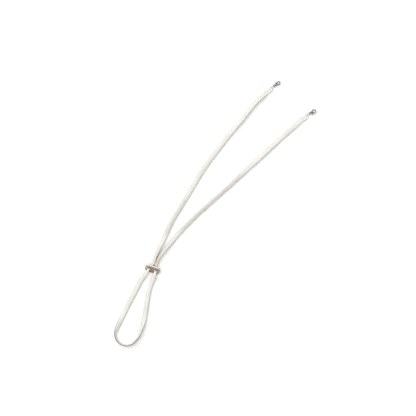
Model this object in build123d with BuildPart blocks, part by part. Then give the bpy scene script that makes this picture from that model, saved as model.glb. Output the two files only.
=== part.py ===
"""Eyeglass retainer strap: a flat lace with a lobster clasp at each end, drawn together by a two-slot slider.

Millimetres. The strap lies on a table at z = 0, with its length along Y: the clasps are at +Y and the
gathered loop is at -Y. The origin is at the middle of its outline, on the table.
"""

import os
from math import cos, radians, sin, tan

from build123d import *

# Lace: one flat strip from crimp to crimp.
LACE_WIDTH = 5.0
LACE_THICKNESS = 1.4
LACE_ON_TABLE = LACE_THICKNESS / 2
BEND_SHARE = 0.45

# Slider: an oval plate, propped up on the lace that runs under its clasp-side half.
SLIDER_LENGTH = 16.8
SLIDER_WIDTH = 8.8
SLIDER_THICKNESS = 1.7
SLIDER_CORNER = 3.8
SLIDER_EDGE = 0.6
SLIDER_X = -15.3
SLIDER_Y = -79.9
SLIDER_TURN = 17.0
SLIDER_LEAN = 29.0
SLOT_LENGTH = 6.2
SLOT_WIDTH = 3.3
SLOT_CORNER = 0.8
SLOT_OFFSET = 4.05
SLOT_SHIFT = -1.45

# Folded crimp that holds each end of the lace.
CRIMP_WALL = 0.4
CRIMP_GRIP = 4.6
CRIMP_CLEARANCE = 0.05
CRIMP_SEAM = 0.3
CRIMP_EYE_REACH = 1.85
EYE_PLATE = 0.6
EYE_RADIUS = 1.3
EYE_HOLE = 0.8

# Jump ring, standing on its edge through both eyes.
RING_RADIUS = 1.9
RING_WIRE = 0.3
RING_SLIT_DEGREES = 8.0
EYE_TO_RING_CENTRE = 1.51

# Lobster clasp. Its own x runs from the eye's centre to the nose, and its gate is on the +y side.
CLASP_THICKNESS = 2.3
CLASP_EDGE = 0.35
HOOK_CENTRE_X = 5.1
HOOK_HALF_LENGTH = 3.0
HOOK_HALF_WIDTH = 2.35
HOLLOW_CENTRE_X = 5.5
HOLLOW_HALF_LENGTH = 1.75
HOLLOW_HALF_WIDTH = 1.35
BASE_BACK_X = 1.5
BASE_LENGTH = 3.0
BASE_WIDTH = 3.0
GATE_START_X = 4.0
HOOK_TIP_X = 6.75
POCKET_HEIGHT = 1.2
POCKET_BACK_X = 2.0
POCKET_FRONT_X = 4.4
LEVER_THICKNESS = 1.1
PIN_X = 2.9
PIN_Y = 0.2
PIN_RADIUS = 0.35
PIN_FIT = 0.03
HUB_RADIUS = 0.75
GATE_BAR = 0.75
SPRING_STRIP = 0.18
SPRING_WIDTH = 0.9

MID_HEIGHT = CLASP_THICKNESS / 2
CRIMP_HEIGHT = CLASP_THICKNESS
LACE_IN_CRIMP = CRIMP_HEIGHT / 2


def by_slider(along, across, height):
    """A point beside the slider: along the lace towards the clasps, across it to the right, and up."""
    turn = radians(SLIDER_TURN)
    x = SLIDER_X - along * sin(turn) + across * cos(turn)
    y = SLIDER_Y + along * cos(turn) + across * sin(turn)
    return (x, y, height)


LEFT_LEG = [
    (-22.0, 161.1, LACE_IN_CRIMP),
    (-24.5, 149.1, LACE_IN_CRIMP),
    (-27.6, 134.7, LACE_ON_TABLE),
    (-28.0, 116.7, LACE_ON_TABLE),
    (-30.5, 94.7, LACE_ON_TABLE),
    (-31.2, 70.7, LACE_ON_TABLE),
    (-32.3, 46.7, LACE_ON_TABLE),
    (-30.6, 21.7, LACE_ON_TABLE),
    (-28.9, -1.3, LACE_ON_TABLE),
    (-27.8, -23.3, LACE_ON_TABLE),
    (-24.5, -42.3, LACE_ON_TABLE),
    (-22.5, -58.3, LACE_ON_TABLE),
    by_slider(10.5, -2.7, LACE_ON_TABLE),
    by_slider(-0.15, -4.1, LACE_ON_TABLE),
]
LOOP = [
    by_slider(-3.9, -4.5, 3.75),
    by_slider(-10.5, -6.7, 2.1),
    (-18.6, -100.3, LACE_ON_TABLE),
    (-16.4, -116.3, LACE_ON_TABLE),
    (-14.5, -132.3, LACE_ON_TABLE),
    (-12.3, -144.8, LACE_ON_TABLE),
    (-10.6, -155.3, LACE_ON_TABLE),
    (-9.0, -164.0, LACE_ON_TABLE),
    (-4.8, -169.0, LACE_ON_TABLE),
    (1.4, -171.3, LACE_ON_TABLE),
    (7.9, -170.1, LACE_ON_TABLE),
    (12.9, -165.9, LACE_ON_TABLE),
    (15.2, -159.7, LACE_ON_TABLE),
    (15.1, -149.1, LACE_ON_TABLE),
    (10.7, -134.8, LACE_ON_TABLE),
    (3.5, -119.8, LACE_ON_TABLE),
    (-2.8, -107.3, LACE_ON_TABLE),
    (-6.5, -97.9, LACE_ON_TABLE),
    by_slider(-10.5, 4.0, 2.1),
    by_slider(-3.9, 4.0, 3.75),
]
RIGHT_LEG = [
    by_slider(-0.15, 3.9, LACE_ON_TABLE),
    by_slider(10.5, 2.7, LACE_ON_TABLE),
    (-16.5, -55.3, LACE_ON_TABLE),
    (-15.1, -39.3, LACE_ON_TABLE),
    (-11.9, -18.3, LACE_ON_TABLE),
    (-7.6, 3.7, LACE_ON_TABLE),
    (-1.6, 27.7, LACE_ON_TABLE),
    (3.9, 50.7, LACE_ON_TABLE),
    (8.4, 72.7, LACE_ON_TABLE),
    (13.3, 96.2, LACE_ON_TABLE),
    (18.1, 116.7, LACE_ON_TABLE),
    (22.5, 134.2, LACE_ON_TABLE),
    (25.5, 146.4, LACE_IN_CRIMP),
    (27.9, 158.4, LACE_IN_CRIMP),
]
ROUTE = LEFT_LEG + LOOP + RIGHT_LEG

# Each end: the lace's last two points, the way its clasp points, and whether the clasp lies face down.
ENDS = {
    "left": (LEFT_LEG[0], LEFT_LEG[1], Vector(0.36, 0.93, 0), True),
    "right": (RIGHT_LEG[-1], RIGHT_LEG[-2], Vector(0.46, 0.89, 0), False),
}


def bend_radii(points):
    """The arc at each corner of a route, as large as the shorter of its two runs allows."""
    corners = [Vector(*point) for point in points]
    radii = []
    for before, corner, after in zip(corners, corners[1:], corners[2:]):
        turn = (corner - before).get_angle(after - corner)
        shorter = min((corner - before).length, (after - corner).length)
        radii.append(BEND_SHARE * shorter / tan(radians(turn / 2)))
    return radii


def save(part, name):
    part.label = name
    export_step(part, f"parts/{name}.step")


def make_lace():
    radii = bend_radii(ROUTE)
    print("lace bend radii, mm:", " ".join(f"{radius:.1f}" for radius in radii))
    with BuildPart() as lace:
        with BuildLine() as route:
            FilletPolyline(*ROUTE, radius=radii)
        path = route.wire()
        across = Vector(0, 0, 1).cross(path % 0)
        with BuildSketch(Plane(origin=path @ 0, x_dir=across, z_dir=path % 0)):
            Rectangle(LACE_WIDTH, LACE_THICKNESS)
        sweep(path=path, binormal=path.moved(Location((0, 0, LACE_WIDTH))))
    print(f"lace length {path.length:.1f} mm, volume {lace.part.volume:.1f} mm3,", end=" ")
    print(f"section times length {path.length * LACE_WIDTH * LACE_THICKNESS:.1f} mm3")
    save(lace.part, "lace")


def slider_plane():
    """The underside of the leaning plate, with its clasp-side edge raised and its loop-side edge on the table."""
    turn = radians(SLIDER_TURN)
    lean = radians(SLIDER_LEAN)
    along = Vector(-sin(turn) * cos(lean), cos(turn) * cos(lean), sin(lean))
    length_way = Vector(cos(turn), sin(turn), 0)
    rounding = SLIDER_EDGE * (sin(lean) + cos(lean) - 1)
    lift = SLIDER_WIDTH / 2 * sin(lean) - rounding
    return Plane(
        origin=(SLIDER_X, SLIDER_Y, lift), x_dir=length_way, z_dir=length_way.cross(along)
    )


def make_slider():
    with BuildPart() as slider:
        with BuildSketch(slider_plane()):
            RectangleRounded(SLIDER_LENGTH, SLIDER_WIDTH, SLIDER_CORNER)
        extrude(amount=SLIDER_THICKNESS)
        outline = slider.faces().sort_by(Axis(origin=(0, 0, 0), direction=slider_plane().z_dir))
        fillet(outline[0].edges() + outline[-1].edges(), SLIDER_EDGE)
        with BuildSketch(slider_plane()):
            with Locations((-SLOT_OFFSET, SLOT_SHIFT), (SLOT_OFFSET, SLOT_SHIFT)):
                RectangleRounded(SLOT_LENGTH, SLOT_WIDTH, SLOT_CORNER)
        extrude(amount=SLIDER_THICKNESS, mode=Mode.SUBTRACT)
    save(slider.part, "slider")


def make_crimp(side, end_plane):
    """A stamped box folded round the lace, with a seam along its top, an end wall and an eye."""
    inner_width = LACE_WIDTH + 2 * CRIMP_CLEARANCE
    outer_width = inner_width + 2 * CRIMP_WALL
    inner_height = CRIMP_HEIGHT - 2 * CRIMP_WALL
    section = Plane(
        origin=end_plane.origin + Vector(0, 0, CRIMP_HEIGHT / 2),
        x_dir=-end_plane.y_dir,
        z_dir=-end_plane.x_dir,
    )
    with BuildPart() as crimp:
        with BuildSketch(section):
            RectangleRounded(outer_width, CRIMP_HEIGHT, CRIMP_HEIGHT * 0.3)
        extrude(amount=CRIMP_GRIP)
        with BuildSketch(section):
            Rectangle(inner_width, inner_height)
            with Locations((0, (inner_height + CRIMP_WALL) / 2)):
                Rectangle(CRIMP_SEAM, CRIMP_WALL * 1.5)
        extrude(amount=CRIMP_GRIP, mode=Mode.SUBTRACT)
        with BuildSketch(section):
            RectangleRounded(outer_width, CRIMP_HEIGHT, CRIMP_HEIGHT * 0.3)
        extrude(amount=-CRIMP_WALL)
        with BuildSketch(end_plane.offset(MID_HEIGHT - EYE_PLATE / 2)):
            with Locations((CRIMP_EYE_REACH, 0)):
                Circle(EYE_RADIUS)
            with Locations((CRIMP_EYE_REACH / 2, 0)):
                Rectangle(CRIMP_EYE_REACH, EYE_RADIUS * 1.4)
            with Locations((CRIMP_EYE_REACH, 0)):
                Circle(EYE_HOLE, mode=Mode.SUBTRACT)
            with Locations((-LACE_WIDTH / 2, 0)):
                Rectangle(LACE_WIDTH, LACE_WIDTH, mode=Mode.SUBTRACT)
        extrude(amount=EYE_PLATE)
    save(crimp.part, f"crimp_{side}")


def make_jump_ring(side, ring_plane):
    with BuildPart() as ring:
        with BuildLine(ring_plane) as circle:
            start = 90 + RING_SLIT_DEGREES / 2
            CenterArc((0, 0), RING_RADIUS, start, 360 - RING_SLIT_DEGREES)
        with BuildSketch(Plane(origin=circle.line @ 0, z_dir=circle.line % 0)):
            Circle(RING_WIRE)
        sweep(path=circle.line)
    save(ring.part, f"jump_ring_{side}")


def make_clasp_body(side, clasp_plane):
    """A claw with two cheeks at its base, an open side for the gate and a pocket for the lever."""
    pocket_floor = (CLASP_THICKNESS - POCKET_HEIGHT) / 2
    with BuildPart() as body:
        with BuildSketch(clasp_plane):
            with Locations((HOOK_CENTRE_X, 0)):
                Ellipse(HOOK_HALF_LENGTH, HOOK_HALF_WIDTH)
            with Locations((BASE_BACK_X + BASE_LENGTH / 2, 0)):
                RectangleRounded(BASE_LENGTH, BASE_WIDTH, 0.6)
        extrude(amount=CLASP_THICKNESS)
        flats = body.faces().filter_by(Axis.Z)
        fillet(flats.edges(), CLASP_EDGE)
        with BuildSketch(clasp_plane):
            with Locations((HOLLOW_CENTRE_X, 0)):
                Ellipse(HOLLOW_HALF_LENGTH, HOLLOW_HALF_WIDTH)
            with Locations(((GATE_START_X + HOOK_TIP_X) / 2, HOOK_HALF_WIDTH / 2 + 0.2)):
                Rectangle(HOOK_TIP_X - GATE_START_X, HOOK_HALF_WIDTH)
        extrude(amount=CLASP_THICKNESS, mode=Mode.SUBTRACT)
        with BuildSketch(clasp_plane.offset(pocket_floor)):
            with Locations(((POCKET_BACK_X + POCKET_FRONT_X) / 2, 0)):
                Rectangle(POCKET_FRONT_X - POCKET_BACK_X, 2 * BASE_WIDTH)
            with Locations((BASE_BACK_X, -BASE_WIDTH / 2 - 0.8)):
                Rectangle(BASE_LENGTH / 2, BASE_WIDTH)
        extrude(amount=POCKET_HEIGHT, mode=Mode.SUBTRACT)
        with BuildSketch(clasp_plane):
            with Locations((PIN_X, PIN_Y)):
                Circle(PIN_RADIUS)
        extrude(amount=CLASP_THICKNESS, mode=Mode.SUBTRACT)
        with BuildSketch(clasp_plane.offset(MID_HEIGHT - EYE_PLATE / 2)):
            Circle(EYE_RADIUS)
            with Locations((BASE_BACK_X / 2 + 0.2, 0)):
                Rectangle(BASE_BACK_X, EYE_RADIUS * 1.2)
            Circle(EYE_HOLE, mode=Mode.SUBTRACT)
        extrude(amount=EYE_PLATE)
    save(body.part, f"clasp_body_{side}")


def make_clasp_lever(side, clasp_plane):
    """The sprung gate, its hub on the pin and the thumb nub on the far side."""
    with BuildPart() as lever:
        with BuildSketch(clasp_plane.offset((CLASP_THICKNESS - LEVER_THICKNESS) / 2)):
            with Locations((PIN_X, PIN_Y)):
                Circle(HUB_RADIUS)
            with BuildLine(mode=Mode.PRIVATE) as gate:
                ThreePointArc((3.3, 0.6), (4.9, 1.7), (6.28, 1.4))
            SlotArc(gate.edge(), GATE_BAR)
            with BuildLine():
                Polyline(
                    (2.55, PIN_Y), (3.3, PIN_Y), (3.3, -1.9), (3.15, -2.6), (2.5, -2.85),
                    (2.35, -2.6), (2.5, -1.9), (2.55, PIN_Y),
                )
            make_face()
            with Locations((PIN_X, PIN_Y)):
                Circle(PIN_RADIUS + PIN_FIT, mode=Mode.SUBTRACT)
        extrude(amount=LEVER_THICKNESS)
    save(lever.part, f"clasp_lever_{side}")


def make_clasp_pin(side, clasp_plane):
    with BuildPart() as pin:
        with BuildSketch(clasp_plane):
            with Locations((PIN_X, PIN_Y)):
                Circle(PIN_RADIUS)
        extrude(amount=CLASP_THICKNESS)
    save(pin.part, f"clasp_pin_{side}")


def make_clasp_spring(side, clasp_plane):
    """A leaf that stands in the pocket and presses the gate outwards."""
    with BuildPart() as spring:
        with BuildSketch(clasp_plane.offset((CLASP_THICKNESS - SPRING_WIDTH) / 2)):
            with BuildLine(mode=Mode.PRIVATE) as leaf:
                ThreePointArc((4.25, -1.25), (3.85, -0.5), (4.1, 0.55))
            SlotArc(leaf.edge(), SPRING_STRIP)
        extrude(amount=SPRING_WIDTH)
    save(spring.part, f"clasp_spring_{side}")


os.makedirs("parts", exist_ok=True)
make_lace()
make_slider()
for side, (lace_end, lace_before, clasp_way, face_down) in ENDS.items():
    out = Vector(lace_end[0] - lace_before[0], lace_end[1] - lace_before[1], 0).normalized()
    clasp_way = clasp_way.normalized()
    end_plane = Plane(origin=(lace_end[0], lace_end[1], 0), x_dir=out, z_dir=(0, 0, 1))
    crimp_eye = end_plane.origin + out * CRIMP_EYE_REACH
    ring_centre = crimp_eye + clasp_way * EYE_TO_RING_CENTRE + Vector(0, 0, RING_RADIUS + RING_WIRE)
    ring_plane = Plane(
        origin=ring_centre, x_dir=clasp_way, z_dir=clasp_way.cross(Vector(0, 0, 1))
    )
    clasp_eye = crimp_eye + clasp_way * 2 * EYE_TO_RING_CENTRE
    clasp_plane = Plane(origin=clasp_eye, x_dir=clasp_way, z_dir=(0, 0, 1))
    if face_down:
        top = clasp_eye + Vector(0, 0, CLASP_THICKNESS)
        clasp_plane = Plane(origin=top, x_dir=clasp_way, z_dir=(0, 0, -1))
    make_crimp(side, end_plane)
    make_jump_ring(side, ring_plane)
    make_clasp_body(side, clasp_plane)
    make_clasp_lever(side, clasp_plane)
    make_clasp_pin(side, clasp_plane)
    make_clasp_spring(side, clasp_plane)
    for name, point in (("crimp eye", crimp_eye), ("ring centre", ring_centre), ("clasp eye", clasp_eye)):
        print(side, name, f"({point.X:.3f}, {point.Y:.3f}, {point.Z:.3f})")
    pin = clasp_plane.from_local_coords((PIN_X, PIN_Y, 0))
    print(side, "lever pin", f"({pin.X:.3f}, {pin.Y:.3f}, {pin.Z:.3f})")
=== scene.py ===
"""The looks of the eyeglass retainer strap: a twisting ivory lace, a horn-look slider and plated clasps.

Metres, +Z up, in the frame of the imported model. The strap lies on a white table and is seen from straight
above.
"""

from math import cos, pi, radians, sin

import bmesh
import bpy
from mathutils import Matrix, Vector


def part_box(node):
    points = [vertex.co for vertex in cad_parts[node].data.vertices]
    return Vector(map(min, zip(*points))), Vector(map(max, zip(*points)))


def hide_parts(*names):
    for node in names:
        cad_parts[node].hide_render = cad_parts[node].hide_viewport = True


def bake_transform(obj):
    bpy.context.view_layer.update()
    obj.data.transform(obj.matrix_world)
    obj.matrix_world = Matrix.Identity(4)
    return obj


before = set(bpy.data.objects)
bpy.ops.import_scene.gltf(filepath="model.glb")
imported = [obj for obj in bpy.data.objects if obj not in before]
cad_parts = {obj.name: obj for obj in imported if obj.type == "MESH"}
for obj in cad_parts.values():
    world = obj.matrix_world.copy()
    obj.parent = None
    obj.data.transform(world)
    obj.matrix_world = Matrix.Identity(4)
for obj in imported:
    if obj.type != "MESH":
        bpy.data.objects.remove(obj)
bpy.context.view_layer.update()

MM = 0.001

# Camera: straight above the strap, turned so that the clasps point to the picture's upper right.
CAMERA_OVER = Vector((-3.3 * MM, 11.3 * MM, 0))
CAMERA_TURN = radians(34.8)
CAMERA_HEIGHT = 1.1
CAMERA_FIELD = 466 * MM
CAMERA_SENSOR = 36.0

# Lace
LACE_WIDTH = 5.0 * MM
LACE_THICKNESS = 1.4 * MM
LACE_LENGTH = 690 * MM
LACE_ON_TABLE = LACE_THICKNESS / 2
LACE_IN_CRIMP = 1.15 * MM
LACE_SQUARENESS = 3.6
LACE_BOW = 0.75 * MM
SECTION_POINTS = 28
STEPS_PER_POINT = 24

# Where the cut sides of the lace's section begin, and over how much they come in, as shares of its half width.
CUT_FROM = 0.86
CUT_OVER = 0.12

# How far from its ends the lace is held flat by the crimps, and over how much more it bows fully.
HELD_FLAT = 5 * MM
BOWS_OVER = 14 * MM

# What a pinch does to the lace: how much thicker it gets, and how soon it loses its bow.
PINCH_THICKENS = 0.5
PINCH_UNBOWS = 2.5

# How much of its half width the rounded edge of a rolled lace reaches down.
ROLLED_REACH = 0.96

# Slider
SLIDER_MIDDLE = Vector((-15.3 * MM, -79.9 * MM, 0))
SLIDER_TURN = radians(17)
SLIDER_LEAN = radians(29)
SLIDER_LENGTH = 16.8 * MM
SLIDER_WIDTH = 8.8 * MM

# Room: how far up a direction points, and how light the room is there.
ROOM_LIGHT = [(0.42, 0.035), (0.62, 1.0), (0.965, 1.0), (0.982, 0.04)]
ROOM_STRENGTH = 1.2

# Key light, with its place in metres as the picture has it: right, up, and towards the camera.
KEY_PLACE = Vector((-1.1, 1.1, 1.55))
KEY_SIZE = 2.4
KEY_POWER = 26.0

TABLE_SIZE = 3.0


def by_slider(along, across, height):
    """A point beside the slider: mm towards the clasps, mm across to the right, and metres up."""
    x = SLIDER_MIDDLE.x - (along * sin(SLIDER_TURN) - across * cos(SLIDER_TURN)) * MM
    y = SLIDER_MIDDLE.y + (along * cos(SLIDER_TURN) + across * sin(SLIDER_TURN)) * MM
    return (x, y, height)


def on_table(x, y):
    return (x * MM, y * MM, LACE_ON_TABLE)


def in_crimp(x, y):
    return (x * MM, y * MM, LACE_IN_CRIMP)


LEFT_SLOT = by_slider(-2.0, -4.3, 2.2 * MM)
RIGHT_SLOT = by_slider(-2.0, 3.95, 2.2 * MM)

LACE_ROUTE = [
    in_crimp(-22.0, 161.1),
    in_crimp(-24.5, 149.1),
    on_table(-27.6, 134.7),
    on_table(-28.0, 116.7),
    on_table(-30.5, 94.7),
    on_table(-31.2, 70.7),
    on_table(-32.3, 46.7),
    on_table(-30.6, 21.7),
    on_table(-28.9, -1.3),
    on_table(-27.8, -23.3),
    on_table(-24.5, -42.3),
    on_table(-22.5, -58.3),
    by_slider(13.5, -1.2, LACE_ON_TABLE),
    by_slider(6.0, -0.9, LACE_ON_TABLE),
    by_slider(-0.15, -4.1, LACE_ON_TABLE),
    by_slider(-3.9, -4.5, 3.75 * MM),
    by_slider(-10.5, -6.7, 2.1 * MM),
    on_table(-18.6, -100.3),
    on_table(-16.4, -116.3),
    on_table(-14.5, -132.3),
    on_table(-12.3, -144.8),
    on_table(-10.6, -155.3),
    on_table(-8.9, -163.2),
    on_table(-4.7, -167.6),
    on_table(1.6, -169.5),
    on_table(7.6, -168.3),
    on_table(12.3, -164.6),
    on_table(15.0, -159.0),
    on_table(15.1, -149.1),
    on_table(10.7, -134.8),
    on_table(3.5, -119.8),
    on_table(-2.8, -107.3),
    on_table(-6.5, -97.9),
    by_slider(-10.5, 4.0, 2.1 * MM),
    by_slider(-3.9, 4.0, 3.75 * MM),
    by_slider(-0.15, 3.9, LACE_ON_TABLE),
    by_slider(6.0, 1.9, LACE_ON_TABLE),
    by_slider(13.5, 2.3, LACE_ON_TABLE),
    on_table(-16.5, -55.3),
    on_table(-15.1, -39.3),
    on_table(-11.9, -18.3),
    on_table(-7.6, 3.7),
    on_table(-1.6, 27.7),
    on_table(3.9, 50.7),
    on_table(8.4, 72.7),
    on_table(13.3, 96.2),
    on_table(18.1, 116.7),
    on_table(22.5, 134.2),
    in_crimp(25.5, 146.4),
    in_crimp(27.9, 158.4),
]

# How the lace rolls about its own line: mm from the left crimp, and degrees. 0 is flat. Above 0 its left-hand
# edge is lifted, as one walks from the left crimp to the right one.
LACE_ROLL = [
    (0, 0), (5, 0), (14, 38), (50, 38), (78, 6), (100, -14), (146, -12), (162, -32), (196, -30), (207, 8),
    (220, 44), (233, 58), (241, 6), (258, 0), (274, 10), (306, 8), (320, -30), (332, -85), (358, -84),
    (374, -58), (392, -10), (424, -5), (438, 0), (450, -4), (458, -56), (474, -46), (494, 4), (506, 42),
    (556, 47), (584, 40), (600, 4), (614, -18), (640, -18), (654, 0), (690, 0),
]

# How much of its width the lace keeps: mm from the left crimp, and share. The slider's slots pinch it.
LACE_PINCH = [
    (0, 1.0), (234, 1.0), (241, 0.6), (249, 0.6), (258, 1.0),
    (434, 1.0), (443, 0.6), (450, 0.6), (457, 1.0), (690, 1.0),
]


def make_camera():
    data = bpy.data.cameras.new("camera")
    data.sensor_width = CAMERA_SENSOR
    data.lens = CAMERA_SENSOR * CAMERA_HEIGHT / CAMERA_FIELD
    data.clip_end = 20
    camera = bpy.data.objects.new("camera", data)
    camera.location = CAMERA_OVER + Vector((0, 0, CAMERA_HEIGHT))
    camera.rotation_euler = (0, 0, CAMERA_TURN)
    bpy.context.scene.collection.objects.link(camera)
    bpy.context.scene.camera = camera


def spline_points(route, steps):
    """Points along a smooth line that the route's points steer."""
    data = bpy.data.curves.new("lace_line", "CURVE")
    data.dimensions = "3D"
    data.resolution_u = steps
    spline = data.splines.new("NURBS")
    spline.points.add(len(route) - 1)
    for point, place in zip(spline.points, route):
        point.co = (*place, 1)
    spline.order_u = 3
    spline.use_endpoint_u = True
    line = bpy.data.objects.new("lace_line", data)
    bpy.context.scene.collection.objects.link(line)
    bpy.context.view_layer.update()
    mesh = bpy.data.meshes.new_from_object(line)
    points = [vertex.co.copy() for vertex in mesh.vertices]
    bpy.data.objects.remove(line)
    bpy.data.meshes.remove(mesh)
    return points


def distances_along(points):
    total = [0.0]
    for before, after in zip(points, points[1:]):
        total.append(total[-1] + (after - before).length)
    return total


def smooth_between(table, at):
    """The value of a table of (place, value) at a place, with a soft step from each entry to the next."""
    for (start, value), (end, next_value) in zip(table, table[1:]):
        if at <= end:
            share = max(0.0, (at - start) / (end - start))
            return value + (next_value - value) * share * share * (3 - 2 * share)
    return table[-1][1]


def lace_section():
    """The strip's outline as (across, through, edge), with edge 1 on its cut sides."""
    section = []
    for step in range(SECTION_POINTS):
        angle = 2 * pi * step / SECTION_POINTS
        across = abs(cos(angle)) ** (2 / LACE_SQUARENESS) * (1 if cos(angle) >= 0 else -1)
        through = abs(sin(angle)) ** (2 / LACE_SQUARENESS) * (1 if sin(angle) >= 0 else -1)
        edge = min(1.0, max(0.0, (abs(across) - CUT_FROM) / CUT_OVER))
        section.append((across * LACE_WIDTH / 2, through * LACE_THICKNESS / 2, edge))
    return section


def lie_at(distance, whole):
    """How the lace lies at a distance: roll, shares of width and thickness, bow, and how far it is lifted."""
    place = distance / whole * LACE_ROLL[-1][0]
    roll = radians(smooth_between(LACE_ROLL, place))
    wide = smooth_between(LACE_PINCH, place)
    thick = 1 + PINCH_THICKENS * (1 - wide)
    from_end = min(distance, whole - distance)
    past_crimp = min(1.0, max(0.0, (from_end - HELD_FLAT) / BOWS_OVER))
    free = past_crimp * max(0.0, 1 - PINCH_UNBOWS * (1 - wide))
    edge_height = LACE_WIDTH * wide / 2 * abs(sin(roll)) * ROLLED_REACH
    half_height = edge_height + LACE_THICKNESS * thick / 2 * abs(cos(roll))
    return roll, wide, thick, LACE_BOW * free * cos(roll), max(0.0, half_height - LACE_THICKNESS / 2)


def make_ribbon(name, line, first, last):
    """One stretch of the lace as a closed mesh. Each point knows how far along and across the strip it is."""
    points, distances = line
    section = lace_section()
    mesh = bpy.data.meshes.new(name)
    shape = bmesh.new()
    rings = []
    strip = []
    path = []
    for index in range(first, last + 1):
        before = points[max(0, index - 1)]
        after = points[min(len(points) - 1, index + 1)]
        tangent = (after - before).normalized()
        side = Vector((0, 0, 1)).cross(tangent).normalized()
        up = tangent.cross(side)
        roll, wide, thick, bow, lift = lie_at(distances[index], distances[-1])
        middle = points[index] + Vector((0, 0, lift))
        across_way = side * cos(roll) + up * sin(roll)
        through_way = up * cos(roll) - side * sin(roll)
        ring = []
        for across, through, edge in section:
            rise = through * thick + bow * (1 - (2 * across / LACE_WIDTH) ** 2)
            ring.append(shape.verts.new(middle + across_way * across * wide + through_way * rise))
            strip.append((distances[index], across, edge))
        rings.append(ring)
        path.append(middle)
    for ring, following in zip(rings, rings[1:]):
        for corner in range(SECTION_POINTS):
            beside = (corner + 1) % SECTION_POINTS
            shape.faces.new((ring[corner], ring[beside], following[beside], following[corner]))
    shape.faces.new(rings[0][::-1])
    shape.faces.new(rings[-1])
    bmesh.ops.recalc_face_normals(shape, faces=shape.faces)
    shape.to_mesh(mesh)
    shape.free()
    attribute = mesh.attributes.new("strip", "FLOAT_VECTOR", "POINT")
    for item, value in zip(attribute.data, strip):
        item.vector = value
    for face in mesh.polygons:
        face.use_smooth = len(face.vertices) == 4
    ribbon = bpy.data.objects.new(name, mesh)
    bpy.context.scene.collection.objects.link(ribbon)
    return ribbon, path


def declare_lace():
    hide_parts("lace")


def nearest(points, place):
    gaps = [(point - Vector(place)).length for point in points]
    return gaps.index(min(gaps))


def make_lace(material):
    """The lace in three stretches that meet inside the slider's slots: left leg, loop and right leg."""
    points = spline_points(LACE_ROUTE, STEPS_PER_POINT)
    line = (points, distances_along(points))
    half = len(points) // 2
    left_slot = nearest(points[:half], LEFT_SLOT)
    right_slot = half + nearest(points[half:], RIGHT_SLOT)
    stretches = {
        "lace_leg_left": (0, left_slot),
        "lace_loop": (left_slot, right_slot),
        "lace_leg_right": (right_slot, len(points) - 1),
    }
    for name, (first, last) in stretches.items():
        ribbon, path = make_ribbon(name, line, first, last)
        ribbon.data.materials.append(material)
        declare_lace()
        if name == "lace_loop":
            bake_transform(ribbon)
        else:
            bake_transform(ribbon)


def fill_ramp(ramp, stops):
    while len(ramp.elements) < len(stops):
        ramp.elements.new(0.5)
    for element, (place, colour) in zip(ramp.elements, stops):
        element.position = place
        element.color = (*colour, 1)


class Shader:
    """A material's node tree, with short ways to add what the materials below share."""

    def __init__(self, name):
        self.material = bpy.data.materials.new(name)
        self.material.use_nodes = True
        self.tree = self.material.node_tree
        self.surface = self.tree.nodes["Principled BSDF"]

    def add(self, kind, **settings):
        node = self.tree.nodes.new(kind)
        for key, value in settings.items():
            setattr(node, key, value)
        return node

    def join(self, out, into):
        self.tree.links.new(out, into)

    def places(self):
        return self.add("ShaderNodeTexCoord").outputs["Object"]

    def stretched(self, vector, scale):
        node = self.add("ShaderNodeMapping")
        node.inputs["Scale"].default_value = scale
        self.join(vector, node.inputs["Vector"])
        return node.outputs["Vector"]

    def reach(self, vector, direction):
        """How far a place lies in a direction."""
        node = self.add("ShaderNodeVectorMath", operation="DOT_PRODUCT")
        node.inputs[1].default_value = direction
        self.join(vector, node.inputs[0])
        return node.outputs["Value"]

    def noise(self, vector, scale, detail=4.0, roughness=0.5, distortion=0.0):
        node = self.add("ShaderNodeTexNoise")
        node.inputs["Scale"].default_value = scale
        node.inputs["Detail"].default_value = detail
        node.inputs["Roughness"].default_value = roughness
        node.inputs["Distortion"].default_value = distortion
        self.join(vector, node.inputs["Vector"])
        return node.outputs["Fac"]

    def cells(self, vector, scale, smoothness):
        node = self.add("ShaderNodeTexVoronoi", feature="SMOOTH_F1")
        node.inputs["Scale"].default_value = scale
        node.inputs["Smoothness"].default_value = smoothness
        self.join(vector, node.inputs["Vector"])
        return node.outputs["Distance"]

    def ramp(self, value, stops):
        node = self.add("ShaderNodeValToRGB")
        fill_ramp(node.color_ramp, stops)
        self.join(value, node.inputs["Fac"])
        return node.outputs["Color"]

    def span(self, value, low, high, to_low, to_high):
        node = self.add("ShaderNodeMapRange")
        for name, number in (("From Min", low), ("From Max", high), ("To Min", to_low), ("To Max", to_high)):
            node.inputs[name].default_value = number
        self.join(value, node.inputs["Value"])
        return node.outputs["Result"]

    def mix(self, share, first, second):
        node = self.add("ShaderNodeMix", data_type="RGBA")
        for value, into in ((share, 0), (first, 6), (second, 7)):
            if isinstance(value, (float, tuple)):
                node.inputs[into].default_value = (*value, 1) if isinstance(value, tuple) else value
            else:
                self.join(value, node.inputs[into])
        return node.outputs[2]

    def bump(self, height, strength, distance, under=None):
        node = self.add("ShaderNodeBump")
        node.inputs["Strength"].default_value = strength
        node.inputs["Distance"].default_value = distance
        self.join(height, node.inputs["Height"])
        if under is not None:
            self.join(under, node.inputs["Normal"])
        return node.outputs["Normal"]

    def set(self, **values):
        for name, value in values.items():
            socket = self.surface.inputs[name.replace("_", " ")]
            if hasattr(value, "is_linked"):
                self.join(value, socket)
            else:
                socket.default_value = value


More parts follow.
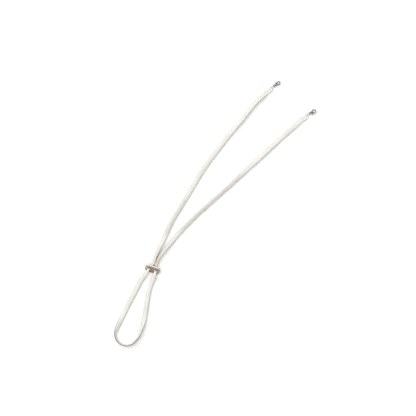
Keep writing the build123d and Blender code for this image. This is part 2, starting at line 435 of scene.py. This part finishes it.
def lace_material():
    """Ivory leather: pebble grain, cross creases, and painted shade that darkens the lace to peach beside the
    slider.

    The cut sides are a pale brown, with painted shade making them dark at the loop's bottom, where the lace
    stands on edge.
    """
    shader = Shader("ivory_leather")
    strip = shader.add("ShaderNodeAttribute", attribute_name="strip").outputs["Vector"]
    parts = shader.add("ShaderNodeSeparateXYZ")
    shader.join(strip, parts.inputs[0])
    place = shader.places()
    pebble = shader.cells(place, 1500, 0.35)
    pores = shader.noise(place, 4200, 3)
    creases = shader.noise(shader.stretched(strip, (1.0, 0.22, 0.0)), 750, 4, 0.6, 0.8)
    clouds = shader.noise(place, 60, 3)
    face = shader.ramp(
        clouds,
        [(0.3, (0.76, 0.75, 0.685)), (0.5, (0.81, 0.80, 0.74)), (0.72, (0.85, 0.84, 0.79))],
    )
    grained = shader.mix(shader.span(pebble, 0.0, 0.75, 0.0, 0.16), face, (0.54, 0.515, 0.43))
    whole = shader.span(parts.outputs["X"], 0.0, LACE_LENGTH, 0.0, 1.0)
    # Shares of painted shade for the two ramps below: none, part and full.
    unshaded, half_shade, full_shade = (0.0, 0.0, 0.0), (0.4, 0.4, 0.4), (1.0, 1.0, 1.0)
    # Painted shade: both legs are darkened to peach just beside the slider, where it shades them.
    painted_slider_shade = shader.ramp(
        whole,
        [(0.31, unshaded), (0.338, half_shade), (0.352, unshaded), (0.64, unshaded), (0.66, half_shade), (0.69, unshaded)],
    )
    # Painted shade: at the loop's bottom, where the lace stands on edge, its cut sides are darkened to a deep
    # brown.
    painted_loop_shade = shader.ramp(whole, [(0.44, unshaded), (0.475, full_shade), (0.53, full_shade), (0.56, unshaded)])
    # The peach colour of that painted shade.
    with_slider_shade = shader.mix(painted_slider_shade, grained, (0.74, 0.56, 0.45))
    fibres = shader.noise(shader.stretched(strip, (0.15, 1.0, 1.0)), 5200, 4, 0.7)
    plain_cut = shader.ramp(fibres, [(0.3, (0.50, 0.47, 0.42)), (0.7, (0.66, 0.63, 0.57))])
    # The cut sides' colour under that painted shade.
    shaded_cut = shader.ramp(fibres, [(0.3, (0.16, 0.135, 0.11)), (0.7, (0.27, 0.235, 0.20))])
    cut = shader.mix(painted_loop_shade, plain_cut, shaded_cut)
    shader.set(
        Base_Color=shader.mix(parts.outputs["Z"], with_slider_shade, cut),
        Roughness=shader.span(pores, 0.3, 0.7, 0.46, 0.64),
        IOR=1.46,
        Specular_IOR_Level=0.42,
        Sheen_Weight=0.08,
        Sheen_Roughness=0.5,
    )
    relief = shader.bump(creases, 0.5, 0.12 * MM)
    relief = shader.bump(pebble, 0.7, 0.06 * MM, relief)
    relief = shader.bump(pores, 0.25, 0.02 * MM, relief)
    shader.set(Normal=relief)
    return shader.material


def horn_material():
    """Polished mottled horn: taupe and khaki clouds with rosy flecks, with a painted highlight on the end
    nearer the key light and along the upper rim.
    """
    shader = Shader("mottled_horn")
    place = shader.places()
    clouds = shader.noise(place, 330, 6, 0.62, 1.4)
    body = shader.ramp(
        clouds,
        [
            (0.32, (0.120, 0.088, 0.060)),
            (0.44, (0.240, 0.185, 0.135)),
            (0.52, (0.370, 0.290, 0.225)),
            (0.60, (0.340, 0.310, 0.210)),
            (0.72, (0.540, 0.490, 0.380)),
        ],
    )
    rosy = shader.span(shader.noise(place, 260, 3, 0.5, 0.6), 0.56, 0.68, 0.0, 0.55)
    flecked = shader.mix(rosy, body, (0.52, 0.34, 0.28))
    streaks = shader.noise(shader.stretched(place, (1.0, 0.3, 0.3)), 1400, 4, 0.6, 0.8)
    streaked = shader.mix(shader.span(streaks, 0.52, 0.7, 0.0, 0.4), flecked, (0.09, 0.068, 0.050))
    low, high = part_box("slider")
    middle = (low + high) / 2
    across = Vector((cos(SLIDER_TURN), sin(SLIDER_TURN), 0))
    upwards = Vector((
        -sin(SLIDER_TURN) * cos(SLIDER_LEAN),
        cos(SLIDER_TURN) * cos(SLIDER_LEAN),
        sin(SLIDER_LEAN),
    ))
    end = middle.dot(across) - SLIDER_LENGTH / 2
    rim = middle.dot(upwards) + SLIDER_WIDTH / 2
    # Painted highlight: the slider's end nearer the key light is mixed to a pale grey-green.
    painted_end_highlight = shader.span(shader.reach(place, across), end + 1.6 * MM, end + 3.4 * MM, 0.8, 0.0)
    # Painted highlight: the upper rim, which faces the key light, is mixed to a near-white cream.
    painted_rim_highlight = shader.span(shader.reach(place, upwards), rim - 1.3 * MM, rim - 0.7 * MM, 0.0, 0.85)
    shader.set(
        Base_Color=shader.mix(
            painted_rim_highlight, shader.mix(painted_end_highlight, streaked, (0.47, 0.465, 0.385)), (0.88, 0.86, 0.79)
        ),
        Roughness=shader.span(clouds, 0.3, 0.7, 0.16, 0.26),
        IOR=1.52,
        Coat_Weight=0.5,
        Coat_Roughness=0.08,
    )
    shader.set(Normal=shader.bump(streaks, 0.12, 0.03 * MM))
    return shader.material


def metal_material(name, colour, rough_low, rough_high, scratch):
    """Plated metal: faint clouding, fine scratches along the strap and soft dents from tumbling."""
    shader = Shader(name)
    place = shader.places()
    clouds = shader.noise(place, 900, 4, 0.6, 0.3)
    scratches = shader.noise(shader.stretched(place, (1.0, 0.08, 1.0)), 9000, 3, 0.6)
    dark = tuple(channel * 0.72 for channel in colour)
    shader.set(
        Base_Color=shader.mix(shader.span(clouds, 0.35, 0.7, 0.0, 1.0), colour, dark),
        Metallic=1.0,
        Roughness=shader.span(scratches, 0.3, 0.7, rough_low, rough_high),
    )
    relief = shader.bump(clouds, 0.2, 0.03 * MM)
    shader.set(Normal=shader.bump(scratches, scratch, 0.006 * MM, relief))
    return shader.material


def table_material():
    shader = Shader("white_table")
    fine = shader.noise(shader.places(), 40, 3)
    shader.set(
        Base_Color=shader.ramp(fine, [(0.3, (0.955, 0.955, 0.955)), (0.7, (0.97, 0.97, 0.97))]),
        Roughness=0.9,
        Specular_IOR_Level=0.1,
    )
    return shader.material


def paint(node, material):
    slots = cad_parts[node].material_slots
    for slot in slots:
        slot.material = material
    if not slots:
        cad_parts[node].data.materials.append(material)


def make_spring(side, material):
    """The clasp's leaf spring, as a copy of the model's part with the given material; it keeps its modelled
    shape.

    The free end is the one nearer to the strap's middle.
    """
    node = f"clasp_spring_{side}"
    leaf = bpy.data.objects.new(f"spring_leaf_{side}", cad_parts[node].data.copy())
    bpy.context.scene.collection.objects.link(leaf)
    leaf.data.materials.clear()
    leaf.data.materials.append(material)
    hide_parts(node)
    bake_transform(leaf)


def make_table():
    mesh = bpy.data.meshes.new("table_top")
    shape = bmesh.new()
    bmesh.ops.create_grid(shape, x_segments=1, y_segments=1, size=TABLE_SIZE)
    shape.to_mesh(mesh)
    shape.free()
    table = bpy.data.objects.new("table_top", mesh)
    bpy.context.scene.collection.objects.link(table)
    mesh.materials.append(table_material())


def make_key_light():
    """A broad light from the picture's upper left, aimed at the middle of the strap."""
    data = bpy.data.lights.new("key", "AREA")
    data.shape = "DISK"
    data.size = KEY_SIZE
    data.energy = KEY_POWER
    light = bpy.data.objects.new("key", data)
    place = Matrix.Rotation(CAMERA_TURN, 3, "Z") @ KEY_PLACE
    light.location = place
    light.rotation_euler = (-place).to_track_quat("-Z", "Y").to_euler()
    bpy.context.scene.collection.objects.link(light)


def make_room():
    """A white room, dark along the floor and straight overhead. The camera itself sees it as plain white."""
    world = bpy.data.worlds.new("white_room")
    bpy.context.scene.world = world
    world.use_nodes = True
    nodes = world.node_tree.nodes
    links = world.node_tree.links
    sky = nodes["Background"]
    way = nodes.new("ShaderNodeTexCoord")
    height = nodes.new("ShaderNodeSeparateXYZ")
    shade = nodes.new("ShaderNodeValToRGB")
    fill_ramp(shade.color_ramp, [(place, (grey, grey, grey)) for place, grey in ROOM_LIGHT])
    links.new(way.outputs["Generated"], height.inputs["Vector"])
    links.new(height.outputs["Z"], shade.inputs["Fac"])
    rays = nodes.new("ShaderNodeLightPath")
    backdrop = nodes.new("ShaderNodeMix")
    backdrop.data_type = "RGBA"
    backdrop.inputs[7].default_value = (1, 1, 1, 1)
    links.new(rays.outputs["Is Camera Ray"], backdrop.inputs[0])
    links.new(shade.outputs["Color"], backdrop.inputs[6])
    links.new(backdrop.outputs[2], sky.inputs["Color"])
    sky.inputs["Strength"].default_value = ROOM_STRENGTH
    bpy.context.scene.view_settings.view_transform = "Standard"


make_camera()
make_lace(lace_material())
make_table()
make_room()
make_key_light()
paint("slider", horn_material())
bright = metal_material("plated_metal", (0.93, 0.92, 0.90), 0.04, 0.11, 0.2)
stamped = metal_material("stamped_metal", (0.95, 0.94, 0.91), 0.42, 0.55, 0.5)
for side in ("left", "right"):
    paint(f"crimp_{side}", stamped)
    paint(f"jump_ring_{side}", bright)
    paint(f"clasp_body_{side}", bright)
    paint(f"clasp_lever_{side}", bright)
    paint(f"clasp_pin_{side}", stamped)
    make_spring(side, stamped)
